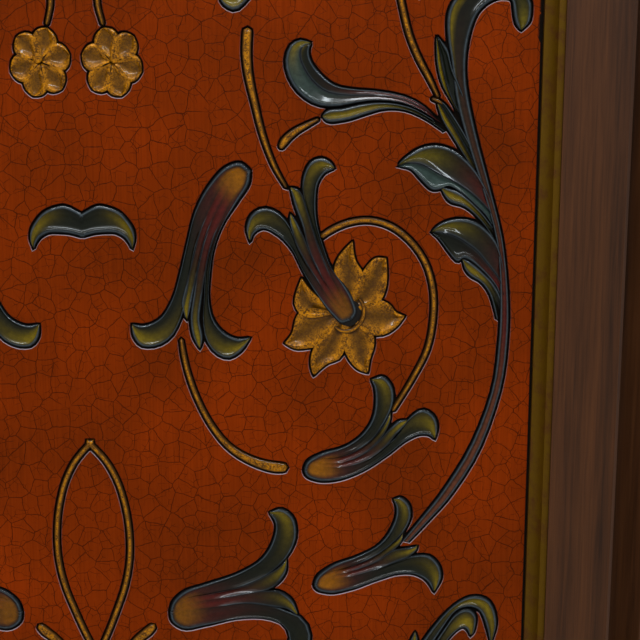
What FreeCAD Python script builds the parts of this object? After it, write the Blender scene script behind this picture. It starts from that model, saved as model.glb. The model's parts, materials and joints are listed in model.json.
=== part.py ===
import FreeCAD, Part
import os
import re

Vector = FreeCAD.Vector
document = FreeCAD.newDocument("folding_screen")

# Driving dimensions: millimetres, and degrees for the fold
sizes = {
    "sight_width": 480,            # carved board seen between the gilt slips
    "sight_height": 1580,
    "slip_width": 10,              # gilt moulding lying on the board inside the frame
    "slip_depth": 8,
    "slip_fillet": 3.5,            # flat along the outer edge of the moulding
    "slip_lip": 3,                 # thickness left at the inner edge, below the hollow
    "slip_hollow": 1.2,            # how far the hollow dips below a straight slope
    "stile_width": 36,
    "frame_depth": 26,
    "edge_chamfer": 2,
    "top_rail_height": 60,
    "bottom_rail_height": 90,
    "leg_height": 60,
    "rebate_width": 10,            # step cut from the back that the board lies in
    "rebate_depth": 16,
    "board_thickness": 9,
    "backing_thickness": 4,
    "panel_clearance": 0.5,        # room for the board to swell in its rebate
    "tenon_length": 27,
    "tenon_thickness": 8,
    "tenon_shoulder": 14,
    "joint_clearance": 0.2,
    "glide_radius": 10,
    "glide_toe_radius": 8,
    "glide_height": 4,
    "nail_radius": 1.5,
    "nail_length": 16,
    "panel_gap": 1,                # space between the stiles of two panels laid flat
    "fold_rest": 40,
    "hinge_height": 60,
    "hinge_inset": 190,            # middle of the end hinges from the ends of the stile
    "leaf_width": 18,
    "leaf_thickness": 1.5,
    "leaf_gap": 0.2,               # between the two leaves when the panels lie flat
    "barrel_radius": 3.5,
    "barrel_clearance": 0.3,
    "knuckle_clearance": 0.3,
    "pin_radius": 2,
    "pin_clearance": 0.05,
    "pin_head_radius": 3.2,
    "pin_head_height": 3,
    "overcut": 1,                  # cuts start this far outside the wood
}

sheet = document.addObject("Spreadsheet::Sheet", "size")
for row, (name, value) in enumerate(sizes.items(), start=1):
    sheet.set(f"A{row}", name)
    sheet.set(f"B{row}", str(value))
    sheet.setAlias(f"B{row}", name)
document.recompute()

parts = []


def bound(text):
    return re.sub(r"[a-z]\w+", lambda word: f"size.{word[0]}" if word[0] in sizes else word[0], str(text))


def size(name):
    return float(getattr(sheet, name))


def bind(target, **formulas):
    for path, text in formulas.items():
        target.setExpression(path.replace("_at_", "Placement.Base."), bound(text))


def new_body(label, panel):
    body = document.addObject("PartDesign::Body", label)
    body.Label = label
    set_down(body, panel)
    parts.append(body)
    return body


def set_down(target, panel):
    target.Placement = FreeCAD.Placement(Vector(), FreeCAD.Rotation(Vector(0, 0, 1), 1))
    target.setExpression("Placement.Rotation.Angle", bound(panel["turn"]))
    bind(target, _at_x=panel["axis_x"], _at_y=panel["axis_y"])


def box(body, kind, label, x, y, z):
    # A block given by its lowest and highest edge along each axis
    block = body.newObject(f"PartDesign::{kind}Box", label)
    bind(block, Length=f"({x[1]})-({x[0]})", Width=f"({y[1]})-({y[0]})", Height=f"({z[1]})-({z[0]})")
    bind(block, _at_x=x[0], _at_y=y[0], _at_z=z[0])
    return block


def rod(body, kind, label, radius, length, start, axis=Vector(0, 0, 1)):
    cylinder = body.newObject(f"PartDesign::{kind}Cylinder", label)
    cylinder.Placement = FreeCAD.Placement(Vector(), FreeCAD.Rotation(Vector(0, 0, 1), axis))
    bind(cylinder, Radius=radius, Height=length)
    bind(cylinder, _at_x=start[0], _at_y=start[1], _at_z=start[2])
    return cylinder


def cone(body, kind, label, radii, length, start, axis=Vector(0, 0, 1)):
    taper = body.newObject(f"PartDesign::{kind}Cone", label)
    taper.Placement = FreeCAD.Placement(Vector(), FreeCAD.Rotation(Vector(0, 0, 1), axis))
    bind(taper, Radius1=radii[0], Radius2=radii[1], Height=length)
    bind(taper, _at_x=start[0], _at_y=start[1], _at_z=start[2])
    return taper


def span(side, near, far):
    # The interval from near to far on the given side of zero
    return (near, far) if side > 0 else (f"-({far})", f"-({near})")


def shifted(interval, offset):
    return tuple(f"({offset})+({edge})" for edge in interval)


# Levels and widths shared by the pieces of a panel
open_width = "(sight_width+2*slip_width)"
panel_width = f"({open_width}+2*stile_width)"
rail_low = "(glide_height+leg_height)"
open_low = f"({rail_low}+bottom_rail_height)"
open_high = f"({open_low}+sight_height+2*slip_width)"
frame_top = f"({open_high}+top_rail_height)"
front = "(-frame_depth/2)"
back = "(frame_depth/2)"
seat = f"({back}-rebate_depth)"
board_back = f"({seat}+board_thickness)"
backing_back = f"({board_back}+backing_thickness)"

# The pin stands clear of the face that its two panels fold towards
pin_stand = "(barrel_radius+barrel_clearance)"
knuckle_count = 3
axis_x = f"({panel_width}/2+panel_gap/2)"
axis_y = f"({back}+{pin_stand})"
hinge_levels = [
    "(glide_height+hinge_inset)",
    f"((glide_height+{frame_top})/2)",
    f"({frame_top}-hinge_inset)",
]

panels = {
    "left": dict(axis_x=f"-{axis_x}", axis_y=f"-{axis_y}", turn="fold_rest",
                 x=f"-{axis_x}", y=axis_y, hinges={1: -1}),
    "middle": dict(axis_x="0", axis_y="0", turn="0", x="0", y="0", hinges={-1: -1, 1: 1}),
    "right": dict(axis_x=axis_x, axis_y=axis_y, turn="fold_rest",
                  x=axis_x, y=f"-{axis_y}", hinges={-1: 1}),
}


def add_stile(name, panel, side):
    place = "right" if side > 0 else "left"
    body = new_body(f"{name}_{place}_stile", panel)
    inner = f"({open_width}/2)"
    outer = f"({panel_width}/2)"
    width = shifted(span(side, inner, outer), panel["x"])
    depth = shifted((front, back), panel["y"])
    post = box(body, "Additive", "post", width, depth, ("glide_height", frame_top))
    document.recompute()

    outer_x = panel_edge(post, side)
    corners = [f"Edge{number}" for number, edge in enumerate(post.Shape.Edges, start=1)
               if is_upright(edge) and abs(edge.CenterOfMass.x - outer_x) < 0.1]
    softened = body.newObject("PartDesign::Chamfer", "softened_edges")
    softened.Base = (post, corners)
    bind(softened, Size="edge_chamfer")

    step = shifted(span(side, inner, f"{inner}+rebate_width"), panel["x"])
    step_depth = shifted((seat, f"{back}+overcut"), panel["y"])
    step_height = (f"{open_low}-rebate_width", f"{open_high}+rebate_width")
    box(body, "Subtractive", "board_rebate", step, step_depth, step_height)

    mortise = shifted(span(side, f"{inner}-overcut", f"{inner}+tenon_length+joint_clearance"), panel["x"])
    cheeks = "(tenon_thickness/2+joint_clearance)"
    mortise_depth = shifted((f"-{cheeks}", cheeks), panel["y"])
    for rail, (low, high) in tenon_heights.items():
        height = (f"{low}-joint_clearance", f"{high}+joint_clearance")
        box(body, "Subtractive", f"{rail}_mortise", mortise, mortise_depth, height)

    nail_x = f"({panel['x']})+({'' if side > 0 else '-'}({inner}+stile_width/2))"
    rod(body, "Subtractive", "glide_nail_hole", "nail_radius+joint_clearance",
        "nail_length+joint_clearance", (nail_x, panel["y"], "glide_height"))

    face = panel["hinges"].get(side)
    if face:
        cut_hinge_seats(body, panel, side, face)


def panel_edge(post, side):
    bounds = post.Shape.BoundBox
    return bounds.XMax if side > 0 else bounds.XMin


def is_upright(edge):
    ends = [vertex.Point for vertex in edge.Vertexes]
    return abs(ends[0].z - ends[1].z) > 1


def cut_hinge_seats(body, panel, side, face):
    edge = f"({panel_width}/2)"
    sunk = "(leaf_gap/2+leaf_thickness-panel_gap/2)"
    seat_x = shifted(span(side, f"{edge}-{sunk}", f"{edge}+overcut"), panel["x"])
    reach = f"({back}-leaf_width)"
    seat_y = shifted(span(face, reach, f"{back}+overcut"), panel["y"])
    for count, level in enumerate(hinge_levels):
        height = (f"{level}-hinge_height/2", f"{level}+hinge_height/2")
        box(body, "Subtractive", f"leaf_seat_{count}", seat_x, seat_y, height)


tenon_heights = {
    "top": (f"({open_high}+tenon_shoulder)", f"({frame_top}-tenon_shoulder)"),
    "bottom": (f"({rail_low}+tenon_shoulder)", f"({open_low}-tenon_shoulder)"),
}


def add_rail(name, panel, rail):
    body = new_body(f"{name}_{rail}_rail", panel)
    levels = {"top": (open_high, frame_top), "bottom": (rail_low, open_low)}[rail]
    reach = f"({open_width}/2)"
    depth = shifted((front, back), panel["y"])
    length = shifted((f"-{reach}", reach), panel["x"])
    box(body, "Additive", "bar", length, depth, levels)

    cheeks = "(tenon_thickness/2)"
    tongue = shifted((f"-{reach}-tenon_length", f"{reach}+tenon_length"), panel["x"])
    tongue_depth = shifted((f"-{cheeks}", cheeks), panel["y"])
    box(body, "Additive", "tenons", tongue, tongue_depth, tenon_heights[rail])

    edge = {"top": (open_high, f"{open_high}+rebate_width"),
            "bottom": (f"{open_low}-rebate_width", open_low)}[rail]
    step_depth = shifted((seat, f"{back}+overcut"), panel["y"])
    box(body, "Subtractive", "board_rebate", length, step_depth, edge)


def rebate_sheet(body, panel, label, depth):
    half = f"({open_width}/2+rebate_width-panel_clearance)"
    length = shifted((f"-{half}", half), panel["x"])
    height = (f"{open_low}-rebate_width+panel_clearance", f"{open_high}+rebate_width-panel_clearance")
    return box(body, "Additive", label, length, shifted(depth, panel["y"]), height)


def add_carved_board(name, panel):
    body = new_body(f"{name}_carved_board", panel)
    rebate_sheet(body, panel, "board", (seat, board_back))


def add_backing(name, panel):
    body = new_body(f"{name}_backing", panel)
    rebate_sheet(body, panel, "sheet", (board_back, backing_back))


def mitred_border(name, panel, half_width, low, high, section):
    # Four separate lengths of one moulding. The section lies in x (inwards from the outer edge)
    # and y (depth), and a wedge of the same width cuts each length to its mitres.
    half_height = (high - low) / 2
    centre = Vector(value_of(panel["x"]), value_of(panel["y"]), (low + high) / 2)
    depthwise = Vector(0, 1, 0)
    limits = section.BoundBox
    lengths = []
    for inward in (Vector(0, 0, 1), Vector(-1, 0, 0), Vector(0, 0, -1), Vector(1, 0, 0)):
        level = abs(inward.z) > 0.5
        out, half = (half_height, half_width) if level else (half_width, half_height)
        bar = section.extrude(Vector(0, 0, 2 * half))
        bar.translate(Vector(0, 0, -half))
        narrow = half - limits.XMax
        wedge = Part.Face(Part.makePolygon([
            Vector(0, limits.YMin, -half), Vector(limits.XMax, limits.YMin, -narrow),
            Vector(limits.XMax, limits.YMin, narrow), Vector(0, limits.YMin, half),
            Vector(0, limits.YMin, -half)]))
        length = bar.common(wedge.extrude(depthwise * limits.YLength))
        turn = FreeCAD.Rotation(inward, depthwise, inward.cross(depthwise), "XYZ")
        length.Placement = FreeCAD.Placement(centre - inward * out, turn)
        lengths.append(length)
    border = document.addObject("Part::Feature", name)
    border.Label = name
    border.Shape = Part.makeCompound(lengths)
    set_down(border, panel)
    parts.append(border)


def value_of(formula):
    return float(sheet.evalExpression(bound(formula)))


def add_gilt_slip(name, panel):
    # A flat fillet along the frame, then a hollow falling to a thin lip over the carving
    rest = value_of(seat)
    width = size("slip_width")
    crest = rest - size("slip_depth")
    lip = rest - size("slip_lip")
    fillet = size("slip_fillet")
    dip = Vector((fillet + width) / 2, (crest + lip) / 2 + size("slip_hollow"))
    hollow = Part.Arc(Vector(fillet, crest), dip, Vector(width, lip)).toShape()
    flats = Part.makePolygon([Vector(width, lip), Vector(width, rest), Vector(0, rest), Vector(0, crest),
                              Vector(fillet, crest)])
    section = Part.Face(Part.Wire([hollow] + flats.Edges))
    mitred_border(f"{name}_gilt_slip", panel, value_of(f"{open_width}/2"), value_of(open_low),
                  value_of(open_high), section)


def add_back_beads(name, panel):
    # Square beads nailed in the rebate behind the backing
    grow = size("rebate_width") - size("joint_clearance")
    near = value_of(backing_back)
    far = value_of(back)
    width = size("rebate_width")
    corners = [Vector(0, near), Vector(width, near), Vector(width, far), Vector(0, far), Vector(0, near)]
    section = Part.Face(Part.makePolygon(corners))
    mitred_border(f"{name}_back_beads", panel, value_of(f"{open_width}/2") + grow,
                  value_of(open_low) - grow, value_of(open_high) + grow, section)


def add_foot_glides(name, panel):
    body = new_body(f"{name}_foot_glides", panel)
    for side in (-1, 1):
        centre = f"({panel['x']})+({side}*({open_width}/2+stile_width/2))"
        cone(body, "Additive", "foot", ("glide_toe_radius", "glide_radius"), "glide_height",
             (centre, panel["y"], "0"))
        rod(body, "Additive", "nail", "nail_radius", "nail_length+glide_height", (centre, panel["y"], "0"))


def add_hinge_leaves(label, panel, side, face, knuckles):
    # Three leaves drawn about the pin: side is where the wood lies, face points into its thickness
    body = new_body(label, panel)
    plate_x = span(side, "leaf_gap/2", "leaf_gap/2+leaf_thickness")
    length = f"(hinge_height/{knuckle_count}-knuckle_clearance)"
    for count, level in enumerate(hinge_levels):
        low = f"({level}-hinge_height/2)"
        box(body, "Additive", f"plate_{count}", plate_x, span(face, pin_stand, f"{pin_stand}+leaf_width"),
            (low, f"{low}+hinge_height"))
        for turn in knuckles:
            start = f"{low}+{turn}*hinge_height/{knuckle_count}+knuckle_clearance/2"
            rod(body, "Additive", f"knuckle_{count}", "barrel_radius", length, ("0", "0", start))
            box(body, "Additive", f"lug_{count}", plate_x, span(face, "0", pin_stand),
                (start, f"{start}+{length}"))
    for count, level in enumerate(hinge_levels):
        rod(body, "Subtractive", f"bore_{count}", "pin_radius+pin_clearance", "hinge_height",
            ("0", "0", f"{level}-hinge_height/2"))


def add_hinge_pins(label, panel):
    body = new_body(label, panel)
    for count, level in enumerate(hinge_levels):
        low = f"({level}-hinge_height/2)"
        high = f"({level}+hinge_height/2)"
        rod(body, "Additive", f"pin_{count}", "pin_radius", f"{high}-{low}", ("0", "0", low))
        cone(body, "Additive", f"head_{count}", ("pin_head_radius", "pin_radius"), "pin_head_height",
             ("0", "0", high))


for name, panel in panels.items():
    for side in (-1, 1):
        add_stile(name, panel, side)
    for rail in ("top", "bottom"):
        add_rail(name, panel, rail)
    add_carved_board(name, panel)
    add_gilt_slip(name, panel)
    add_backing(name, panel)
    add_back_beads(name, panel)
    add_foot_glides(name, panel)

# Hinges: the leaves on the middle panel hold the end knuckles and the pin, the others the knuckle between
for joint, toward in (("left", -1), ("right", 1)):
    turned = panels[joint]
    fixed = dict(turned, turn="0")
    add_hinge_leaves(f"{joint}_hinge_middle_leaves", fixed, -toward, -toward, (0, 2))
    add_hinge_leaves(f"{joint}_hinge_outer_leaves", turned, toward, -toward, (1,))
    add_hinge_pins(f"{joint}_hinge_pins", fixed)

document.recompute()
for item in document.Objects:
    if {"Invalid", "Error"} & set(item.State):
        raise RuntimeError(f"{item.Label} did not rebuild: {item.State}")
for part in parts:
    if part.Shape.isNull() or not part.Shape.isValid():
        raise RuntimeError(f"{part.Label} has no sound shape")

os.makedirs("parts", exist_ok=True)
for part in parts:
    part.Shape.exportStep(f"parts/{part.Label}.step")
    print(part.Label, len(part.Shape.Solids), round(part.Shape.Volume))
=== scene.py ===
import json
import math

import bpy
import numpy as np
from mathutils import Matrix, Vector
from mathutils.geometry import delaunay_2d_cdt


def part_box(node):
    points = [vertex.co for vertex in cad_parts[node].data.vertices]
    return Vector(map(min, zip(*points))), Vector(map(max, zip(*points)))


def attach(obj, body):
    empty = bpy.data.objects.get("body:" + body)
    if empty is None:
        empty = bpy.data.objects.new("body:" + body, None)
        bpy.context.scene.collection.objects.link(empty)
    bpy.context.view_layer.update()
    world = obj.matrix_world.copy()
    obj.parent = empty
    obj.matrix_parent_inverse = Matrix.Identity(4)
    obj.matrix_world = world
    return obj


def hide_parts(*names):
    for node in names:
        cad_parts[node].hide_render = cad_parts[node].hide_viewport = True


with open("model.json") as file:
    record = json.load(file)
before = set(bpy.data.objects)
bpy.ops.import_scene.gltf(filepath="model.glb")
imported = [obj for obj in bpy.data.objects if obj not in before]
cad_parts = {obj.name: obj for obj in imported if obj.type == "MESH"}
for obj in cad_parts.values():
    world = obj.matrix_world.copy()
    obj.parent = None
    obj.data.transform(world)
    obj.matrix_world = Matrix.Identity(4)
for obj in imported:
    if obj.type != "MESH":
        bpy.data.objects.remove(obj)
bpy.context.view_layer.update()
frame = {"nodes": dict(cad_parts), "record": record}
print("frame loaded:", len(frame["nodes"]), "nodes")

# Where each panel stands: its middle before it turns about its hinge pin, in millimetres and degrees
panels = {
    "left": dict(pin=(-286.5, -16.8), middle=(-286.5, 16.8), turn=40, body="left_panel"),
    "middle": dict(pin=(0, 0), middle=(0, 0), turn=0, body="middle_panel"),
    "right": dict(pin=(286.5, 16.8), middle=(286.5, -16.8), turn=40, body="right_panel"),
}

boardLow, boardHigh = (np.array(corner) * 1000 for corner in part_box("middle_carved_board"))
slipLow, slipHigh = (np.array(corner) * 1000 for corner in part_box("middle_gilt_slip"))

# How the repeats of the carving stand on a board, in millimetres
layout = dict(repeats=4, pitch=375, firstTop=64, slipWidth=10)
sightTop = slipHigh[2] - layout["slipWidth"]


def topOf(repeat):
    # Where a repeat of the carving starts, down from sightTop
    return layout["firstTop"] + repeat * layout["pitch"]


# The right half of a board and what the slip leaves in sight: across from its axis, down from sightTop
boardRight, boardTop, boardBottom = boardHigh[0], sightTop - boardHigh[2], sightTop - boardLow[2]
sightRight, sightBottom = slipHigh[0] - layout["slipWidth"], sightTop - slipLow[2] - layout["slipWidth"]

# The photo's camera: lens and middle in its pixels, the rest in degrees and millimetres from the board
photoView = dict(lens=1300, middle=320, pitch=11.4, distance=682, across=125.6, repeat=1)
photoTilt = math.radians(photoView["pitch"])
topRay = photoTilt - math.atan(photoView["middle"] / photoView["lens"])     # below level, at the photo's top

tiny = 1e-6                                     # keeps a division by a length safe


def onBoard(pixels):
    # A photo pixel's ray meets the board: millimetres right of the panel axis and down from the repeat's top
    x, y = np.asarray(pixels, float).T
    rise = (y - photoView["middle"]) / photoView["lens"]
    reach = photoView["distance"] / (math.cos(photoTilt) - rise * math.sin(photoTilt))
    across = reach * (x - photoView["middle"]) / photoView["lens"] + photoView["across"]
    down = photoView["distance"] * (np.tan(photoTilt + np.arctan(rise)) - math.tan(topRay))
    return np.column_stack([across, down])


def cubic(t, start, leave, end, arrive):
    # From start to end as t goes from 0 to 1, with the given slopes there
    near = (2 * t**3 - 3 * t**2 + 1) * start + (t**3 - 2 * t**2 + t) * leave
    return near + (3 * t**2 - 2 * t**3) * end + (t**3 - t**2) * arrive


def runAlong(points):
    # Length of a line up to each of its points
    return np.r_[0, np.cumsum(np.hypot(*np.diff(np.asarray(points, float), axis=0).T))]


def pathLength(points):
    return runAlong(points)[-1]


# How a smooth line is read: steps between two traced points, how much closer its points come at the ends, and
# points that make a half round
reading = dict(steps=12, crowding=0.09, halfRound=9)


def smoothPath(points, count):
    # A cubic through the points, its slope at each weighed by the nearer neighbour, read closer near the ends
    p = np.asarray(points, float)
    gap = np.maximum(np.hypot(*np.diff(p, axis=0).T), tiny)[:, None]
    slope = np.diff(p, axis=0) / gap
    inner = (slope[:-1] * gap[1:] + slope[1:] * gap[:-1]) / (gap[1:] + gap[:-1])
    tangent = np.vstack([slope[:1], inner, slope[-1:]])
    t = np.linspace(0, 1, reading["steps"], endpoint=False)[None, :, None]
    curve = cubic(t, p[:-1, None], (tangent[:-1] * gap)[:, None], p[1:, None], (tangent[1:] * gap)[:, None])
    curve = np.vstack([curve.reshape(-1, 2), p[-1:]])
    run = runAlong(curve)
    part = np.linspace(0, 1, count)
    wanted = (part - reading["crowding"] * np.sin(2 * np.pi * part)) * run[-1]
    return np.column_stack([np.interp(wanted, run, curve[:, 0]), np.interp(wanted, run, curve[:, 1])])


def railsOf(edges, count):
    return [smoothPath(onBoard(edge), count) for edge in edges]


def pairedPath(points, at):
    # A cubic through the points, read at the given places between them
    p = np.asarray(points, float)
    slope = np.gradient(p, axis=0)
    k = np.minimum(at.astype(int), len(p) - 2)
    return cubic((at - k)[:, None], p[k], slope[k], p[k + 1], slope[k + 1])


def edgePair(left, right, along):
    # Two traced edges on the board; edges traced in pairs keep their pairs
    if len(left) == len(right):
        at = np.linspace(0, len(left) - 1, along)
        return [pairedPath(onBoard(edge), at) for edge in (left, right)]
    return railsOf((left, right), along)


def unit(vectors):
    # The same directions with the length 1
    return vectors / np.maximum(np.hypot(*vectors.T), tiny)[:, None]


def cross(a, b):
    # Twice the area between two flat vectors, with its sign
    return a[..., 0] * b[..., 1] - a[..., 1] * b[..., 0]


def ease(low, high, value):
    # A smooth step from 0 at low to 1 at high
    t = np.clip((value - low) / (high - low), 0, 1)
    return t * t * (3 - 2 * t)


def linear(hexColour):
    # An sRGB colour as linear values
    channels = np.array([int(hexColour[i:i + 2], 16) for i in (1, 3, 5)]) / 255
    return np.where(channels <= 0.04045, channels / 12.92, ((channels + 0.055) / 1.055) ** 2.4)


# Profile of a carved lobe, in millimetres, and in shares where a note says so
carver = dict(
    depth=2.4,                                  # floor of the groove below the ground
    groove=1.25,                                # width of the groove round a motif
    doubled=0.05,                               # points of an edge closer than this count as one
    steps=[0, 0.25, 0.5, 1.3, 1.8, 2.5],        # how far in from the edge the profile is measured
    fall=[1, 0.1, 0.07, 0, 0, 0],               # share of the depth still to climb there
    bead=[0, 0.02, 0.07, 0.16, 0.27, -0.2],     # the raised rim of an open lobe
    crest=[0.9, 0.82, 0.72, 0.42, 0.24, 0],     # the ridge between two lobes of one leaf
    between=[0.18, 0.36, 0.5, 0.64, 0.82],      # shares of the hollow inside the rims where it is measured
    rimWidth=7.4,                               # a lobe narrower than this has a narrower rim,
    leastRim=0.06,                              # down to this share
    hollowWidth=11,                             # a lobe narrower than this has a shallower hollow,
    leastHollow=0.05,                           # down to this share
    bowl=0.7,                                   # power of the sine across a hollow; less is squarer
    spine=0.13,                                 # share of the hollow that a ridge along its middle takes
    parting=(0.05, 0.08),                       # shares of the length, before and after a seam's end
    leaning=(0.25, 0.45),                       # shares of the length between foot's and tip's tilt
    tipWidth=1.8,                               # a lobe narrower than this goes down to the groove's floor
    dive=1.5,                                   # how far the foot of a blade goes under the stem
    spoon=0.75,                                 # depth of the hollow in the round foot of a leaf
    spoonFrom=5,                                # how far in from the edge it is that deep
    spoonEnds=0.05,                             # share of the length that it goes on after the lobes rise
)
for name in ("steps", "fall", "bead", "crest", "between"):
    carver[name] = np.array(carver[name])
closed = (1, 2)                                 # a lobe that opens past its tip stays a round body
atOnce = (-1, 0)                                # what starts before the foot is there all along

# Lines painted along the rim of a lobe, in millimetres in from its edge, and the heights between which the
# paint turns black down in the groove
# The pale line along the rim is worn paint and also a painted highlight
rimPaint = dict(dark=(1.4, 2.4), darkCover=0.95, wornAndHighlight=1.3, wornAndHighlightWidth=0.35, wornAndHighlightCover=0.3, groove=(-1.7, -0.9),
                seamShare=1.8,                  # the dark line along a ridge is this much narrower
                footFree=9)                     # and there is none where the ridge hasn't risen

# The gold in the foot of a leaf starts inside its rim and ends this far up, in millimetres
gold = dict(inFrom=(1.7, 4.2), ends=(8, 24))

# Colours of the old paint on the leaves; slate is blue-grey paint made paler as a painted sheen, worn is also
# a painted highlight
paints = {name: linear(code) for name, code in dict(
    rim="#0b0e11", green="#0a0d07", olive="#5f4e07", moss="#4a3f07", burgundy="#3d0e0a", plum="#2c0f0b",
    bulb="#6e4003", stem="#4a2616", gilt="#9a6004", umber="#3e2504", brown="#241303", black="#0e0a07",
    slate="#232f2b", wornAndHighlight="#59646a").items()}


def awayFrom(points, line):
    # Distance of each point from a line of straight stretches
    start, run = line[:-1], np.diff(line, axis=0)
    part = ((points[..., None, :] - start) * run).sum(-1) / np.maximum((run**2).sum(-1), tiny)
    gap = points[..., None, :] - start - np.clip(part, 0, 1)[..., None] * run
    return np.hypot(gap[..., 0], gap[..., 1]).min(-1)


def acrossLobe(left, right):
    # Stations across every row of a lobe: the rim's steps from both edges, and the hollow's shares between
    width = np.hypot(*(right - left).T)[:, None]
    shrink = np.clip(width / carver["rimWidth"], carver["leastRim"], 1)
    near = shrink * carver["steps"]
    inside = near[:, -1:] + (width - 2 * near[:, -1:]) * carver["between"]
    return width, shrink, np.hstack([near, inside, width - near[:, ::-1]])


def sideProfile(seam, away, free, level, u, crest, rises):
    # Heights in from one edge, and distances from its dark line: a free rim, or a ridge that two lobes share
    # until they part
    if seam is None:
        return free, away
    risen = ease(*rises, u)
    parted = ease(seam - carver["parting"][0], seam + carver["parting"][1], u)
    joined = level + crest * risen * carver["crest"]
    share = rimPaint["seamShare"]
    away = away * (share - (share - 1) * parted) + rimPaint["footFree"] * (1 - np.maximum(risen, parted))
    return joined + (free - joined) * parted, away


def leanAcross(place, width, reach, u, tilt, seams):
    # A slope from the left edge up to the right, level on the rims, that fades out towards a shared ridge
    steep = tilt[0] + (tilt[1] - tilt[0]) * ease(*carver["leaning"], u)
    lean = steep * (np.clip(place, reach, width - reach) - width / 2)
    grow = carver["steps"] / carver["steps"][-1]
    if seams[0] is not None:
        lean[:, :len(grow)] *= grow
    if seams[1] is not None:
        lean[:, -len(grow):] *= grow[::-1]
    return lean


def spoonFoot(sheet, outline, rises):
    # Near the foot all the lobes of a leaf make one spoon, measured in from the edge of the whole leaf
    inFrom = np.minimum(*[awayFrom(sheet["points"], edge) for edge in outline])
    rim = carver["bead"] - carver["depth"] * carver["fall"]
    spoon = np.interp(inFrom, [*carver["steps"], carver["spoonFrom"]], [*rim, -carver["spoon"]])
    apart = ease(rises[0], rises[1] + carver["spoonEnds"], sheet["u"])
    for name, atFoot in dict(height=spoon, rimAway=inFrom, shrink=1, closing=1).items():
        sheet[name] = atFoot + (sheet[name] - atFoot) * apart
    fromFoot = np.hypot(*np.moveaxis(sheet["points"] - outline[0][0], -1, 0))
    sheet["foot"] = ease(*gold["inFrom"], inFrom) * (1 - ease(*gold["ends"], fromFoot))


def lobeSheet(left, right, rim=1.0, dish=0.8, valley=0.0, ridge=0.0, tilt=(0, 0), crown=0.4, opens=atOnce,
              sink=0.0, lift=0.0, seams=(None, None), crest=1.0, rises=(0.15, 0.45), outline=None):
    # Points between two edges: a round body where the lobe is closed, a rim with a hollow where it has opened
    u = np.linspace(0, 1, len(left))[:, None]
    width, shrink, place = acrossLobe(left, right)
    v = place / np.maximum(width, tiny)
    fall, bead, between = carver["fall"], carver["bead"], carver["between"]
    free = shrink * bead * rim - carver["depth"] * fall
    level = shrink * bead[-1] * rim
    leftSide, leftAway = sideProfile(seams[0], place, free, level, u, crest, rises)
    rightSide, rightAway = sideProfile(seams[1], place[:, ::-1], free, level, u, crest, rises)
    curve = np.sin(np.pi * between) ** carver["bowl"] * (1 - valley) + (1 - abs(2 * between - 1)) * valley
    hollow = curve * np.clip(width / carver["hollowWidth"], carver["leastHollow"], 1) * dish
    spine = np.exp(-((between - 0.5) / carver["spine"]) ** 2) * ridge
    opened = np.hstack([leftSide, level - hollow + spine, rightSide[:, ::-1]])
    opened = opened + leanAcross(place, width, shrink * carver["steps"][-1], u, tilt, seams)
    cut = carver["depth"] * np.hstack([fall, np.zeros(len(between)), fall[::-1]])
    rounded = crown * (1 - (2 * v - 1) ** 2) - cut
    sheet = dict(
        points=left[:, None] + (right - left)[:, None] * v[..., None], u=np.repeat(u, v.shape[1], 1), v=v,
        height=rounded + (opened - rounded) * ease(*opens, u), shrink=shrink, foot=None,
        rimAway=np.minimum(leftAway, rightAway), closing=ease(0, carver["tipWidth"], width))
    if outline is not None:
        spoonFoot(sheet, outline, rises)
    sheet["height"] = (sheet["height"] + lift + carver["depth"]) * sheet["closing"] - carver["depth"]
    if sink:
        sheet["height"] = sheet["height"] - (1 - ease(0, sink, u)) * carver["dive"]
    return sheet


def blend(colour, name, weight):
    # The colour moved towards a paint by the weight
    return colour + (paints[name] - colour) * weight[..., None]


def paintLobe(sheet, body="green", spots=()):
    # Soft spots of colour, each at a place along and across the lobe, inside a dark rim with a pale worn line
    # that is also a painted highlight
    u, v = sheet["u"], sheet["v"]
    colour = np.ones(u.shape + (3,)) * paints[body]
    for name, along, length, across, breadth in spots:
        colour = blend(colour, name, np.exp(-((u - along) / length) ** 2 - ((v - across) / breadth) ** 2))
    if sheet["foot"] is not None:
        colour = blend(colour, "bulb", sheet["foot"])
    inFromRim = sheet["rimAway"] / sheet["shrink"]
    colour = blend(colour, "rim", (1 - ease(*rimPaint["dark"], inFromRim)) * rimPaint["darkCover"])
    # The pale line at the rim's top: worn paint, and a painted highlight
    wornAndHighlight = np.exp(-((inFromRim - rimPaint["wornAndHighlight"]) / rimPaint["wornAndHighlightWidth"]) ** 2)
    colour = blend(colour, "wornAndHighlight", wornAndHighlight * rimPaint["wornAndHighlightCover"])
    colour = blend(colour, "black", 1 - ease(*rimPaint["groove"], sheet["height"]))
    sheet["paint"] = np.dstack([colour, np.zeros(u.shape)])
    return sheet


# Dirt gathers in gilded hollows from this height down, over this depth; heights of the black groove
gilding = dict(dirtFrom=0.1, dirtDepth=1.5, dirtDulls=0.5, brown=0.95, groove=(-2.1, -1.5))


def gildLobe(sheet, edgeDark=(0.2, 0.8), hollowDark=0.0):
    # Gilding rubbed bright on what stands out, brown along the edge and where the hollows hold dirt
    colour = np.ones(sheet["u"].shape + (3,)) * paints["gilt"]
    dirt = np.clip((gilding["dirtFrom"] - sheet["height"]) / gilding["dirtDepth"], 0, 1) * hollowDark
    brown = (1 - ease(*edgeDark, sheet["rimAway"])) * gilding["brown"]
    black = 1 - ease(*gilding["groove"], sheet["height"])
    for name, weight in dict(umber=dirt, brown=brown, black=black).items():
        colour = blend(colour, name, weight)
    bare = np.maximum(np.maximum(brown, black), dirt * gilding["dirtDulls"])
    sheet["paint"] = np.dstack([colour, 1 - bare])
    return sheet


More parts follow.
